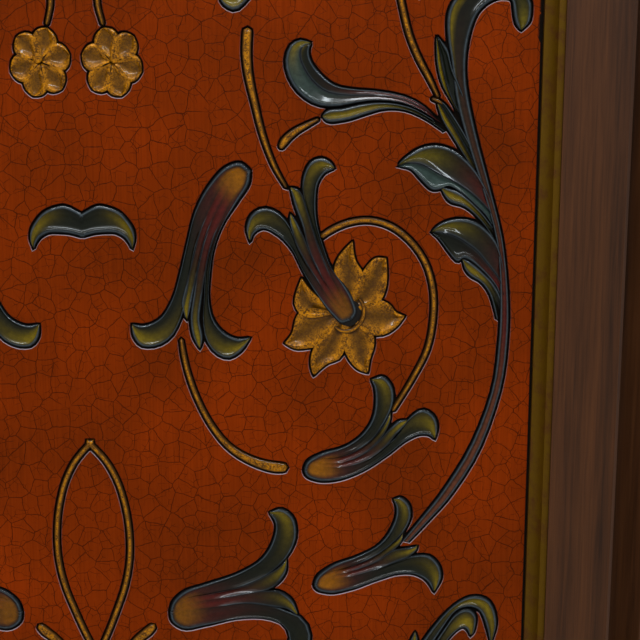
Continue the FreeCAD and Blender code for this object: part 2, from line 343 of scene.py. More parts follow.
# Leaves shaped like a horn: a foot, the seams that run out of it, and for each lobe the ends of its edges.
# All traced points are pixels of the photo.
horns = {
    "club": dict(
        foot=(251, 170), place=[0.75, 0.5, 0.5, 0.3],
        seams=[[(240, 162), (228, 165), (209, 184), (196, 208), (187, 242), (180, 272)],
               [(230, 176), (213, 202), (201, 228), (192, 262)],
               [(236, 180), (219, 206), (206, 236), (198, 268)],
               [(241, 183), (226, 211), (212, 242), (205, 275)],
               [(250, 182), (238, 202), (224, 223), (214, 248), (210, 275)]],
        lobes=[dict(left=[(172, 299), (160, 318), (145, 325)], tip=(131.5, 324),
                    right=[(187, 295), (180, 322), (170, 339), (155, 347), (140, 346), (133, 337)]),
               dict(left=[(184, 290), (181, 303), (184, 315)], tip=(187, 321),
                    right=[(194, 292), (191, 308)]),
               dict(left=[(193, 295), (190, 318), (193, 338)], tip=(200, 350),
                    right=[(202, 300), (200, 320), (203, 338)]),
               dict(left=[(204, 300), (203, 325), (207, 343), (217, 355), (228, 359), (240, 353)],
                    tip=(251, 337.5), right=[(209, 300), (214, 320), (224, 332), (236, 338)])]),
    "bell": dict(
        foot=(352, 321), lift=0.7, gold=0.55,
        seams=[[(340, 323.5), (333, 317), (318, 297), (303, 272)],
               [(332, 302), (318, 281), (306, 262), (297, 246)],
               [(336, 299), (323, 278), (313, 260), (307, 244)],
               [(342, 297), (331, 276), (320, 250), (311, 222), (305, 202)],
               [(357, 313), (354, 300), (345, 285), (334, 272), (324, 248), (317, 222)]],
        lobes=[dict(left=[(291, 249), (277, 235), (263, 229), (254, 234)], tip=(250, 243),
                    right=[(288, 223), (278, 212), (264, 207.5), (251, 214), (246, 228)]),
               dict(left=[(293, 235), (289.5, 222)], tip=(290, 213), right=[(302, 232), (296, 220)]),
               dict(left=[(302, 226), (294, 205)], tip=(290, 187), right=[(303, 196), (298, 189)]),
               dict(left=[(302, 186), (304, 173), (311, 161), (321, 157.5), (331, 162)], tip=(335, 168.5),
                    right=[(316, 200), (318, 184), (324, 174.5)])]),
    "upperHorn": dict(
        foot=(303, 470),
        seams=[[(306, 462), (320, 453.5), (345, 446), (360, 436), (371, 421)],
               [(314, 461), (338, 457.5), (360, 448), (377, 434)],
               [(316, 465), (342, 462), (364, 453), (380, 439)],
               [(317, 468), (345, 466.5), (368, 459), (386, 446)],
               [(305, 475.5), (316, 481), (335, 481), (358, 473.5), (388, 455)]],
        lobes=[dict(left=[(375, 400), (374, 388)], tip=(371, 379.5),
                    right=[(387, 419), (394, 400), (392, 385), (383, 376)]),
               dict(left=[(386, 421)], tip=(391, 411.5), right=[(387, 429), (390.5, 420)]),
               dict(left=[(391, 427), (399, 420.5)], tip=(408, 420), right=[(396, 435), (404, 427)]),
               dict(left=[(398, 435), (411, 416), (423, 409), (434, 415), (438, 427)], tip=(435, 440),
                    right=[(408, 440), (420, 435), (430, 436)])]),
    "lowerHorn": dict(
        foot=(313, 585),
        seams=[[(316, 577), (330, 566), (357, 556), (378, 545), (390, 530)],
               [(324, 575), (348, 567), (372, 557), (392, 543)],
               [(326, 578), (350, 571), (376, 561), (394, 549)],
               [(327, 581), (352, 575.5), (378, 568), (400, 560)],
               [(315, 589), (328, 593.5), (350, 590), (378, 580), (400, 574)]],
        lobes=[dict(left=[(396, 512), (395, 504)], tip=(393, 499.5),
                    right=[(406, 529), (411.5, 514), (408, 502), (400, 497)]),
               dict(left=[(400, 537)], tip=(404, 533), right=[(401, 542)]),
               dict(left=[(404, 548)], tip=(418, 546), right=[(410, 556), (416, 551)]),
               dict(left=[(416, 555), (430, 555.5), (440, 566), (442, 576)], tip=(434, 593),
                    right=[(414, 574.5), (425, 580), (430, 586)])]),
    "greatHorn": dict(
        foot=(169, 612), gold=0.65, place=[0.7, 0.5, 0.4, 0.25],
        seams=[[(172, 602), (182, 592), (205, 584), (242, 571), (261, 559)],
               [(184, 600), (210, 593.5), (245, 584.5), (272, 571)],
               [(187, 605), (214, 599), (248, 592.5), (266, 590)],
               [(189, 610), (216, 606.5), (248, 603), (272, 606)],
               [(171, 621), (182, 629), (205, 626), (240, 618.5), (268, 619)]],
        lobes=[dict(left=[(272, 542), (275, 524)], tip=(269, 512.5),
                    right=[(289, 555), (297, 532), (292, 515), (281, 508.5)]),
               dict(left=[(280, 566)], tip=(287, 559), right=[(279, 583), (286, 573)]),
               dict(left=[(280, 591), (291, 598)], tip=(299, 616.5), right=[(284, 608)]),
               dict(left=[(290, 612), (303, 618), (311, 634), (309, 649), (297, 660), (278, 667), (263, 672),
                          (255, 681), (243, 689.5), (232, 684)], tip=(228, 673),
                    right=[(281, 623.5), (289, 636), (286, 647), (274, 653), (256, 656), (239, 661)])]),
}

# The two outer lobes of a horn are hollow with a ridge, the inner ones plain. Red lies by the foot and olive
# by the tip, each as place along, length, place across and breadth
plainHorn = dict(lift=0.2, gold=1, place=[0.7, 0.5, 0.5, 0.3])   # place of the olive across each lobe
hornLobes = dict(
    outer=dict(rows=38, dish=0.8, ridge=0.5, red=("plum", 0.28, 0.12, 0.5, 0.6)),
    inner=dict(rows=32, dish=0.4, ridge=0, red=("burgundy", 0.36, 0.2, 0.5, 0.6)),
    oliveAt=(0.9, 0.18), oliveBreadth=0.27, outlineRows=60)


def carveHorn(entry):
    # Each lobe lies between two seams that leave the foot, and the lobe's own edges carry them on to its tip
    horn = plainHorn | entry
    sheets = []
    last = len(horn["lobes"]) - 1
    seams = [[horn["foot"]] + seam for seam in horn["seams"]]
    outer = [seams[0] + horn["lobes"][0]["left"], seams[-1] + horn["lobes"][-1]["right"]]
    outline = railsOf(outer, hornLobes["outlineRows"])
    for number, lobe in enumerate(horn["lobes"]):
        kind = hornLobes["outer" if number in (0, last) else "inner"]
        pair = seams[number:number + 2]
        edges = [seam + lobe[edge] + [lobe["tip"]] for seam, edge in zip(pair, ("left", "right"))]
        parts = [pathLength(seam) / pathLength(edge) for seam, edge in zip(pair, edges)]
        shared = (None if number == 0 else parts[0], None if number == last else parts[1])
        rails = railsOf(edges, kind["rows"])
        sheet = lobeSheet(*rails, dish=kind["dish"], ridge=kind["ridge"], lift=horn["lift"], seams=shared,
                          outline=outline)
        sheet["foot"] = sheet["foot"] * horn["gold"]
        olive = ("olive", *hornLobes["oliveAt"], horn["place"][number], hornLobes["oliveBreadth"])
        sheets.append(paintLobe(sheet, spots=[kind["red"], olive]))
    return sheets


# Lines where the two lobes of a blade meet, each an edge of both
ridges = dict(
    lowBroad=[(504, 296), (501, 283), (495, 273), (487, 263), (478, 252), (468, 244), (457, 237), (446, 233),
              (438, 231.8), (431, 232.5)],
    highBroad=[(495, 222), (491, 213), (482, 203), (470, 192), (457, 183), (448, 178), (438, 172.5),
               (423, 164.5), (409, 162.5), (397, 166.5)],
    lowSlim=[(477, 168), (459, 136), (447.5, 117), (441, 106), (437, 101)],
    highSlim=[(464, 120), (455, 106), (447.5, 88), (442, 66), (439, 48), (436.5, 35)],
    curl=[(445, 125.5), (422.5, 108), (401.5, 98.5), (376, 95), (356, 95), (340, 94), (326, 91), (314, 82),
          (305.5, 70), (300.5, 58), (301, 49), (305.5, 45), (312, 43)],
)
onLeft, onRight = (2, None), (None, 2)          # sides on which a lobe has a ridge, which never ends

# The tall acanthus: its stem with the arched crown, and the blades that leave it
acanthus = dict(
    stem=dict(
        left=[(402, 541), (420, 519), (442, 491), (470, 446), (491, 392), (498, 345), (500, 300), (497, 245),
              (484, 195), (468, 145), (456, 100), (451, 60), (447.5, 40), (446.5, 22), (449, 8), (457, -5),
              (470, -20), (487, -28), (507, -26), (522, -16), (531, 0), (532, 10), (530, 22), (521, 31)],
        right=[(409, 542), (428, 522), (452, 495), (480, 450), (501, 390), (508, 340), (508.5, 295),
               (503, 240), (491, 190), (478, 140), (469, 98), (466, 70), (468, 45), (473, 25), (478, 14),
               (484, 7), (491, 2), (499, -1), (508, -1), (512, 2), (513, 10), (514, 18), (516, 25),
               (521, 31)],
        spots=[("stem", 0.1, 0.28, 0.55, 0.3), ("burgundy", 0.24, 0.05, 0.6, 0.3),
               ("olive", 0.6, 0.12, 0.2, 0.09), ("moss", 0.95, 0.08, 0.45, 0.3)],
        rows=76, dish=0.9),
    blades=[
        dict(left=[(503, 303), (499, 292), (493, 282.5), (486, 275), (477, 266.5), (469, 261), (462, 258.5)],
             right=[(497, 322), (494, 309), (489, 294), (481, 283), (471, 277), (465, 270), (462, 258.5)],
             place=0.45),
        dict(left=ridges["lowBroad"],
             right=[(503, 303), (497, 289), (489, 278), (480, 269), (471, 261.5), (463, 258.5), (457, 262),
                    (448, 252), (439, 239.5), (431, 232.5)],
             place=1.4, seams=onLeft, tilt=(0, 0.15), base="burgundy"),
        dict(left=[(507, 290), (504, 268), (500, 251), (495, 239), (487, 229.5), (477, 222), (464, 218.5),
                   (450, 219.5), (438, 225), (431, 232.5)],
             right=ridges["lowBroad"], place=0.4, tint="moss", tintAt=(0.8, 0.22), seams=onRight,
             base="plum"),
        dict(left=[(492, 225), (475, 205), (455, 190), (440, 187)],
             right=[(497, 245), (483, 224), (464, 207), (449, 202), (440, 187)], place=0.45),
        # This half-blade faces up; its slate body is made paler as a painted sheen
        dict(left=ridges["highBroad"],
             right=[(492, 225), (485, 215), (475, 205), (464, 195), (449, 186), (441, 189.5), (431, 190),
                    (420, 179.5), (410.5, 169.5), (397, 166.5)],
             body="slate", place=1.4, seams=onLeft, tilt=(0.31, 0.31), dish=0.1),
        dict(left=[(498, 222), (491, 200), (484, 184), (474, 168), (462, 155.5), (449, 147.5), (434, 144.5),
                   (418, 148.5), (403, 159), (397, 166.5)],
             right=ridges["highBroad"], place=0.4, tint="moss", tintAt=(0.8, 0.22), seams=onRight,
             base="burgundy"),
        dict(left=ridges["lowSlim"],
             right=[(482, 166), (465, 134), (452, 113), (444, 103), (437, 101)], place=1.5, seams=onLeft),
        dict(left=[(473, 170), (454, 140), (443, 122), (438, 108), (437, 101)],
             right=ridges["lowSlim"], place=0.5, tintAt=(0.6, 0.45), seams=onRight),
        dict(left=ridges["highSlim"],
             right=[(466, 100), (459, 83), (452, 66), (448, 49), (442, 41), (436.5, 35)], place=1.5,
             seams=onLeft),
        dict(left=[(464, 125), (452, 103), (442, 85), (437, 65), (436, 45), (436.5, 35)],
             right=ridges["highSlim"], place=0.5, tintAt=(0.6, 0.45), seams=onRight),
    ],
)

# Two long curled blades that lean left from the acanthus, the upper one in two lobes
curl = dict(blades=[
    dict(left=[(446, 127), (424, 106), (403, 95.5), (377, 90.7), (356, 89), (338, 86), (327, 79.5),
               (318.5, 71), (312.5, 63), (309.5, 55), (309.5, 49), (310.5, 45.5), (312, 43)],
         right=ridges["curl"], place=1.0, tintAt=(0.95, 0.12), tilt=(0.4, 0), dish=0.1, seams=onRight,
         crest=0.4, sink=0.08, base="burgundy"),
    # The outer half of the curl faces up; its slate body is made paler as a painted sheen
    dict(left=ridges["curl"],
         right=[(441, 123), (420, 110), (400, 102.5), (375, 100.5), (356, 103), (335, 107), (316, 105),
                (300, 95), (289, 80), (284.5, 62), (289, 46), (300, 39.5), (312, 43)],
         place=0.5, tintAt=(0.9, 0.14), tilt=(0.33, 0.33), dish=0, seams=onLeft, crest=0.4, sink=0.08,
         body="slate", base="burgundy"),
    dict(left=[(432, 118.5), (410, 107), (387, 102.5), (363, 103.5), (343, 108), (326, 111), (322, 116)],
         right=[(446, 133), (425, 119), (405, 110.5), (385, 109.5), (365, 115), (345, 121), (325, 120.5),
                (322, 116)], place=0.5, sink=0.08),
])

# The leaf at the head of the upright stem, in the pixels of the repeat above
headLeaf = dict(blades=[
    dict(left=[(404, -6), (425, -35), (445, -66), (467, -92), (489, -105), (509, -99), (517, -73),
               (510, -44)],
         right=[(413, -4), (434, -28), (455, -62), (470, -85), (485, -91), (498, -85), (505, -65),
                (510, -44)],
         place=0.4),
    dict(left=[(413, -5), (436, -30), (456, -61), (471, -83), (485, -89), (494, -80), (492, -62), (487, -54)],
         right=[(419, -2), (440, -20), (455, -40), (466, -55), (474, -63), (480, -65), (485, -60),
                (487, -54)],
         place=0.6),
    dict(left=[(410, -14), (415, -32), (420, -49), (426, -61)],
         right=[(420, -16), (425, -33), (429, -49), (426, -61)], place=0.5),
])

# The hooked leaf at the panel axis
axisLeaf = dict(blades=[
    dict(left=[(80, 214), (95, 206), (105, 206), (120, 212), (132, 226), (135, 238), (132, 250)],
         right=[(80, 238), (95, 234), (110, 233), (117, 234), (124, 238), (129, 244), (132, 250)], place=0.3,
         sink=0),
])

# What a blade has where its own entry doesn't say: its tint lies at tintAt, as place along and length
plainBlade = dict(rows=26, dish=0.9, tilt=(0, 0), sink=0.25, lift=0.3, seams=(None, None), crest=1,
                  body="green", baseSpot=(0.05, 0.3, 0.5, 0.5), tint="olive", tintAt=(0.7, 0.28),
                  tintBreadth=0.32)


def carveBlade(entry):
    # A lobe between its two edges, with one colour at the base and a tint further along
    blade = plainBlade | entry
    shape = {name: blade[name] for name in ("dish", "tilt", "sink", "lift", "seams", "crest")}
    sheet = lobeSheet(*edgePair(blade["left"], blade["right"], blade["rows"]), rises=atOnce, **shape)
    base = (blade.get("base", blade["body"]), *blade["baseSpot"])
    tint = (blade["tint"], *blade["tintAt"], blade["place"], blade["tintBreadth"])
    return paintLobe(sheet, blade["body"], spots=[base, tint])


# The star flower: for each petal the points where it leaves its neighbours, then its edges and its tip
starFlower = dict(
    middle=(345, 313),
    petals=[
        dict(left=[(337, 284), (333.5, 271), (337, 259), (343.5, 250)], tip=(353, 240.5),
             right=[(362.7, 271.7), (356.5, 262), (353.8, 250)]),
        dict(left=[(362.7, 271.7), (367.8, 264.5), (375, 258)], tip=(386.5, 258),
             right=[(381.8, 300.4), (386, 290), (387.5, 272)]),
        dict(left=[(381.8, 300.4), (389.5, 304), (396, 312)], tip=(405.5, 316),
             right=[(374, 336), (385, 335), (396, 328)]),
        dict(left=[(374, 336), (374.5, 346), (370.5, 359)], tip=(368, 373.5),
             right=[(344.5, 351), (350, 362), (358, 370)]),
        dict(left=[(344.5, 351), (340, 359), (328, 364), (319, 371)], tip=(313.5, 376.5),
             right=[(313.7, 347.5), (310.5, 357), (310.5, 367)]),
        dict(left=[(313.7, 347.5), (306, 349), (296, 349.5)], tip=(284, 343.5),
             right=[(298.5, 313), (295, 320), (292, 333)]),
        dict(left=[(298.5, 313), (294, 304), (295.5, 294)], tip=(301.5, 277.5),
             right=[(318, 297), (310, 289)]),
    ],
    rows=22, shape=dict(rim=0.5, dish=1.7, valley=0.5, lift=0.15, sink=0.45, crest=0.25, rises=atOnce),
    gilt=dict(edgeDark=(0.1, 0.5), hollowDark=0.85),
)

# The painted shadow at the flower's middle, round the foot of the bell: a black disc in the hollow
flowerShadowDisc = dict(middle=(348.5, 313), radius=13.5, rows=16, shape=dict(rim=0, dish=0, lift=-0.1))


def discRails(disc):
    # The left and right halves of a round, from its top to its foot
    angles = np.linspace(0, np.pi, reading["halfRound"])
    halves = [np.column_stack([side * np.sin(angles), -np.cos(angles)]) * disc["radius"] for side in (-1, 1)]
    return railsOf([half + disc["middle"] for half in halves], disc["rows"])


def carveFlower():
    # Petals that part from their neighbours at their first points, and a black disc between them as painted
    # shadow
    sheets = []
    for petal in starFlower["petals"]:
        edges = [[starFlower["middle"]] + petal[side] + [petal["tip"]] for side in ("left", "right")]
        seams = [pathLength(edge[:2]) / pathLength(edge) for edge in edges]
        rails = railsOf(edges, starFlower["rows"])
        sheets.append(gildLobe(lobeSheet(*rails, seams=seams, **starFlower["shape"]), **starFlower["gilt"]))
    dark = lobeSheet(*discRails(flowerShadowDisc), **flowerShadowDisc["shape"])
    shape = dark["u"].shape
    # The disc is black all over, as painted shadow
    dark["paint"] = np.dstack([np.ones(shape + (3,)) * paints["black"], np.zeros(shape)])
    return sheets + [dark]


# The small rosette: one petal's outline as distance out and half width, turned to each place, and a boss
rosette = dict(middle=(112, 62), turns=[-108, -46, 16, 72, 130, 192], reach=36, stretch=np.array([0.86, 1]),
               outline=[(8, 4), (16, 11.5), (24, 14.5), (31, 11), (34.5, 5)], rows=18,
               shape=dict(dish=1.3, seams=(0.5, 0.5), crest=0.2, rises=atOnce),
               gilt=dict(edgeDark=(0.1, 0.4), hollowDark=0.8),
               boss=dict(middle=(114.5, 58), radius=5.5, rows=14, gilt=dict(edgeDark=(0, 0.4)),
                         shape=dict(crown=0.8, opens=closed, lift=0.1)))


def carveRosette():
    # Each point of a petal lies so far out along its direction and so far to the side
    sheets = []
    middle = np.array(rosette["middle"], float)
    for turn in np.radians(rosette["turns"]):
        outward = np.array([math.cos(turn), math.sin(turn)])
        sideways = np.array([-outward[1], outward[0]])
        tip = [middle + outward * rosette["reach"] * rosette["stretch"]]
        edges = [[middle] + [middle + (outward * far + sideways * side * wide) * rosette["stretch"]
                             for far, wide in rosette["outline"]] + tip for side in (-1, 1)]
        rails = railsOf(edges, rosette["rows"])
        sheets.append(gildLobe(lobeSheet(*rails, **rosette["shape"]), **rosette["gilt"]))
    boss = rosette["boss"]
    return sheets + [gildLobe(lobeSheet(*discRails(boss), **boss["shape"]), **boss["gilt"])]


# Gilt stems: the line along the middle, and half the width at each point, in photo pixels
stems = {
    "bud": dict(line=[(247.5, 27), (246.5, 55), (248, 72), (254.5, 103), (264, 140), (275, 168), (287, 189)],
                half=[4.6, 4.6, 4, 3.2, 2.8, 2.4, 1.5]),
    "twig": dict(line=[(319, 119), (308, 124.5), (292, 134), (284, 142), (280, 149)],
                 half=[1.5, 2.5, 3.6, 4, 2.5]),
    "upright": dict(line=[(397, -20), (401, 0), (411, 40), (419.5, 60), (430, 80), (439, 99)],
                    half=[3, 3, 3, 3, 2.6, 1.6]),
    "tie": dict(line=[(431.5, 98.5), (437, 100.5), (443.5, 104.5)], half=[1.4, 2, 1.4]),
    "paddle": dict(line=[(181, 338), (183, 352), (190, 380), (200, 405), (213, 428), (229, 447), (252, 461),
                         (275, 467.5), (288, 468)], half=[2, 2.6, 2.8, 2.8, 3, 3.4, 4.4, 5.6, 4.6]),
    "ring": dict(line=[(320, 238), (330, 231), (350, 222.5), (370, 220.5), (390, 226), (410, 241), (425, 262),
                       (433, 290), (433, 320), (427, 350), (414, 376), (392, 412)],
                 half=[2.6, 3, 3, 3, 3, 3, 3, 3, 3, 2.8, 2.6, 2.2]),
    "collar": dict(line=[(359, 298), (363.5, 306), (363.5, 316), (359, 325), (350.5, 331), (341, 331),
                         (333.5, 326)],
                   half=[1.6, 2.4, 2.6, 2.6, 2.6, 2.4, 1.6]),
    "axisArc": dict(line=[(86, 440), (107, 463), (117, 481), (124, 502), (129, 530), (129.5, 560),
                          (124.5, 588), (117, 610), (105, 640), (95, 660)], half=[3] * 10),
    "bract": dict(line=[(136, -69), (129, -61), (120, -53), (111, -44), (100, -20), (97, 0), (103, 26)],
                  half=[3.5, 5, 4.6, 3.6, 3, 2.6, 2]),
}

# A stem has a row for so many pixels of its length, and at least so many rows
stemBead = dict(every=5.5, least=22, crown=0.4, edgeDark=(0.5, 1.4))


def carveStem(stem):
    # A rounded bead carried along the line, as wide as the half widths say, with round ends
    traced = onBoard(stem["line"])
    line = smoothPath(traced, max(stemBead["least"], int(pathLength(stem["line"]) / stemBead["every"])))
    run, place = runAlong(traced), runAlong(line)
    perPixel = photoView["distance"] / photoView["lens"]
    half = np.interp(place / place[-1], run / run[-1], stem["half"]) * perPixel
    toEnd = np.clip(np.minimum(place, place[-1] - place) / half, 0, 1)
    half = half * np.sqrt(toEnd * (2 - toEnd))
    along = unit(np.gradient(line, axis=0))
    sideways = np.column_stack([-along[:, 1], along[:, 0]]) * half[:, None]
    sheet = lobeSheet(line + sideways, line - sideways, crown=stemBead["crown"], opens=closed)
    return gildLobe(sheet, edgeDark=stemBead["edgeDark"])


def carveRepeat():
    # One half of a repeat: every lobe, blade, petal and stem as its own sheet
    sheets = [carveStem(stem) for stem in stems.values()]
    sheets += carveFlower() + carveRosette()
    stem = acanthus["stem"]
    stemSheet = lobeSheet(*edgePair(stem["left"], stem["right"], stem["rows"]), dish=stem["dish"])
    sheets.append(paintLobe(stemSheet, spots=stem["spots"]))
    for group in (acanthus, curl, headLeaf, axisLeaf):
        sheets += [carveBlade(blade) for blade in group["blades"]]
    for horn in horns.values():
        sheets += carveHorn(horn)
    return sheets


def outlineOf(sheet):
    # The two edges of a sheet as one closed line without doubled points, moved out by the width of the groove
    ring = np.vstack([sheet["points"][:, 0], sheet["points"][::-1, -1]])
    ring = ring[np.hypot(*(ring - np.roll(ring, 1, 0)).T) > carver["doubled"]]
    ring = ring if cross(ring, np.roll(ring, -1, 0)).sum() > 0 else ring[::-1]
    ahead = unit(np.roll(ring, -1, 0) - np.roll(ring, 1, 0))
    return ring + np.column_stack([ahead[:, 1], -ahead[:, 0]]) * carver["groove"]


def within(points, ring):
    # Whether a closed line winds round each point: on one side of it, the line's crossings of its level up and
    # down don't cancel
    inside = np.zeros(len(points), bool)
    near = np.all((points > ring.min(0)) & (points < ring.max(0)), axis=1)
    p = points[near][:, None]
    a, b = ring[None], np.roll(ring, -1, 0)[None]
    side = cross(b - a, p - a)
    up = (a[..., 1] <= p[..., 1]) & (b[..., 1] > p[..., 1]) & (side > 0)
    down = (a[..., 1] > p[..., 1]) & (b[..., 1] <= p[..., 1]) & (side < 0)
    inside[near] = (up.sum(1) - down.sum(1)) != 0
    return inside


def insideAny(points, rings):
    # Whether at least one of the closed lines goes round each point
    inside = np.zeros(len(points), bool)
    for ring in rings:
        inside |= within(points, ring)
    return inside


def gridFaces(rows, columns):
    # Faces between neighbouring rows and columns of points
    corner = np.arange(rows * columns).reshape(rows, columns)
    return np.stack([corner[:-1, :-1], corner[:-1, 1:], corner[1:, 1:], corner[1:, :-1]], -1).reshape(-1, 4)


def joinSheets(sheets):
    # All the sheets of a half repeat as one list of points, faces and paint, facing out of the board
    points, faces, paint, start = [], [], [], 0
    for sheet in sheets:
        flat = sheet["points"].reshape(-1, 2)
        grid = gridFaces(*sheet["height"].shape)
        a, b, c = (flat[grid[:, i]] for i in range(3))
        faces.append((grid if cross(b - a, c - a).sum() < 0 else grid[:, ::-1]) + start)
        points.append(np.column_stack([flat, sheet["height"].ravel()]))
        paint.append(sheet["paint"].reshape(-1, 4))
        start += len(flat)
    return np.vstack(points), np.vstack(faces), np.vstack(paint)


def turnAbout(x, y, degrees, pin):
    # Turned about the upright axis, then moved to the pin
    angle = math.radians(degrees)
    return (x * math.cos(angle) - y * math.sin(angle) + pin[0],
            x * math.sin(angle) + y * math.cos(angle) + pin[1])


def placeOnPanel(points, name):
    # Across, down from the sight edge and outward height, in millimetres, become metres in the row's frame
    panel = panels[name]
    x = points[:, 0] + panel["middle"][0]
    y = boardLow[1] - points[:, 2] + panel["middle"][1]
    return np.column_stack([*turnAbout(x, y, panel["turn"], panel["pin"]), sightTop - points[:, 1]]) / 1000


def addObject(name, data):
    thing = bpy.data.objects.new(name, data)
    bpy.context.scene.collection.objects.link(thing)
    return thing


def makePiece(name, points, faces, body, material, uv=None, paint=None, sharpAngle=None):
    # A mesh from whole arrays of points, faces and paint, riding on a body of the frame
    mesh = bpy.data.meshes.new(name)
    mesh.vertices.add(len(points))
    mesh.vertices.foreach_set("co", np.ascontiguousarray(points, np.float32).ravel())
    lists = faces if isinstance(faces, list) else [faces]
    corners = np.concatenate([part.ravel() for part in lists])
    sides = np.concatenate([np.full(len(part), part.shape[1]) for part in lists])
    mesh.loops.add(len(corners))
    mesh.loops.foreach_set("vertex_index", corners.astype(np.int32))
    mesh.polygons.add(len(sides))
    mesh.polygons.foreach_set("loop_start", np.r_[0, np.cumsum(sides)[:-1]].astype(np.int32))
    mesh.polygons.foreach_set("loop_total", sides.astype(np.int32))
    mesh.polygons.foreach_set("use_smooth", np.ones(len(sides), bool))
    if uv is not None:
        layer = mesh.uv_layers.new(name="boardMetres")
        layer.data.foreach_set("uv", uv[corners].astype(np.float32).ravel())
    if paint is not None:
        colours = mesh.color_attributes.new("paint", "FLOAT_COLOR", "POINT")
        colours.data.foreach_set("color", paint.astype(np.float32).ravel())
    mesh.update(calc_edges=True)
    mesh.validate()
    if sharpAngle:
        mesh.set_sharp_from_angle(angle=math.radians(sharpAngle))
    mesh.materials.append(material)
    piece = addObject(name, mesh)
    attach(piece, body)
    return piece


# The ground between the motifs: wall of the groove from its lip down, in millimetres
ground = dict(inset=[0, 0.14, 0.32, 0.5, 0.75], drop=[0, 0.09, 0.35, 0.9, 2.4],
              dustAndHighlight=[0, 0.8, 0.8, 0.2, 0],       # pale dust and wear along the lip, with a painted highlight, where the wall runs upright, and more where it faces up, within these shares
              level=0.12, upward=0.78,          # where the wall runs upright, and more where it faces up,
              dustAndHighlightRange=(0.03, 0.85),           # within these shares
              dirt=[0.9, 2.0],                  # painted shadow: a dark line in the corner beside the slip
              gridStep=15, margin=2,            # the flat ground's grid, and the last gap at its edge
              weld=1e-4,                        # points closer than this count as one
              sharp=28)                         # degrees at which an edge of the board isn't smoothed


def ringsOfBoard(outlines):
    # The outlines of every repeat; one that crosses the axis also comes mirrored
    rings = []
    for repeat in range(layout["repeats"]):
        shift = np.array([0, topOf(repeat)])
        for ring in outlines:
            rings.append(ring + shift)
            if ring[:, 0].min() < 0:
                rings.append((ring * [-1, 1])[::-1] + shift)
    return rings


def gridOfBoard(rings):
    # An even grid outside the grooves, with lines at both ends of the painted shadow by the slip and all along
    # the board's edge
    step, margin, dirt = ground["gridStep"], ground["margin"], np.array(ground["dirt"])
    across = np.r_[np.arange(0, boardRight - margin, step), sightRight - dirt, boardRight]
    downward = np.r_[np.arange(boardTop, boardBottom - margin, step), dirt, sightBottom - dirt, boardBottom]
    x, y = (part.ravel() for part in np.meshgrid(across, downward, indexing="ij"))
    border = (x == 0) | (x == boardRight) | (y == boardTop) | (y == boardBottom)
    field = np.column_stack([x, y])
    return field[border | ~insideAny(field, rings)]


def closedLine(count, start):
    # Edges from each point to the next, and from the last to the first
    order = np.arange(count)
    return np.column_stack([order, np.roll(order, -1)]) + start


def carveGround(outlines):
    # Half of a board cut along every groove: its points, the triangles of sheet and floors, and the painted
    # shadow by the slip
    rings = ringsOfBoard(outlines)
    corners = np.array([[0, boardTop], [boardRight, boardTop], [boardRight, boardBottom], [0, boardBottom]])
    inner = np.vstack([corners, gridOfBoard(rings)])
    starts = np.cumsum([len(inner)] + [len(ring) for ring in rings])
    lines = [closedLine(len(ring), start) for start, ring in zip(starts, rings)]
    points = np.vstack([inner] + rings)
    edges = np.vstack([closedLine(len(corners), 0)] + lines)
    result = delaunay_2d_cdt(points.tolist(), edges.tolist(), [], 0, ground["weld"])
    flat = np.array(result[0])
    triangles = np.array([face for face in result[2] if len(face) == 3])
    middle = flat[triangles].mean(1)
    onIt = np.all((middle > corners[0]) & (middle < corners[2]), axis=1)
    triangles, middle = triangles[onIt], middle[onIt]
    a, b, c = (flat[triangles[:, i]] for i in range(3))
    turned = cross(b - a, c - a) > 0
    triangles[turned] = triangles[turned][:, ::-1]
    sunk = insideAny(middle, rings)
    # The painted shadow of the slip: dark near every edge of the sight
    inward = np.minimum(sightRight - flat[:, 0], np.minimum(flat[:, 1], sightBottom - flat[:, 1]))
    return flat, triangles[~sunk], triangles[sunk], 1 - ease(*ground["dirt"], inward)


def cutEdges(upper, lower):
    # Edges that an upper and a lower triangle share, as the upper one runs along them
    def sidesOf(faces):
        return np.vstack([faces[:, [0, 1]], faces[:, [1, 2]], faces[:, [2, 0]]])
    up, down = sidesOf(upper), sidesOf(lower)
    size = max(up.max(), down.max()) + 1
    shared = np.isin(up[:, 0] * size + up[:, 1], down[:, 1] * size + down[:, 0])
    return up[shared]


def wallAlong(flat, edges):
    # The wall's profile carried along the cut: each point moves in along the mean of its two edges' normals
    names, at = np.unique(edges, return_inverse=True)
    at = at.reshape(edges.shape)
    ahead = unit(flat[edges[:, 1]] - flat[edges[:, 0]])
    normal = np.column_stack([-ahead[:, 1], ahead[:, 0]])
    inward = np.zeros((len(names), 2))
    np.add.at(inward, at[:, 0], normal)
    np.add.at(inward, at[:, 1], normal)
    inward = unit(inward)
    count = len(names)
    rings = [np.column_stack([flat[names] + inward * inset, np.full(count, -drop)])
             for inset, drop in zip(ground["inset"], ground["drop"])]
    strip = np.column_stack([at[:, 1], at[:, 0], at[:, 0] + count, at[:, 1] + count])
    faces = [strip + k * count for k in range(len(rings) - 1)]
    depth = np.repeat(np.linspace(0, 1, len(rings)), count)
    # The lip is pale with dust, and paler still where it faces up: a painted highlight
    facing = np.clip(ground["level"] - ground["upward"] * inward[:, 1], *ground["dustAndHighlightRange"])
    tone = np.column_stack([depth, np.outer(ground["dustAndHighlight"], facing).ravel()])
    return np.vstack(rings), np.vstack(faces), tone


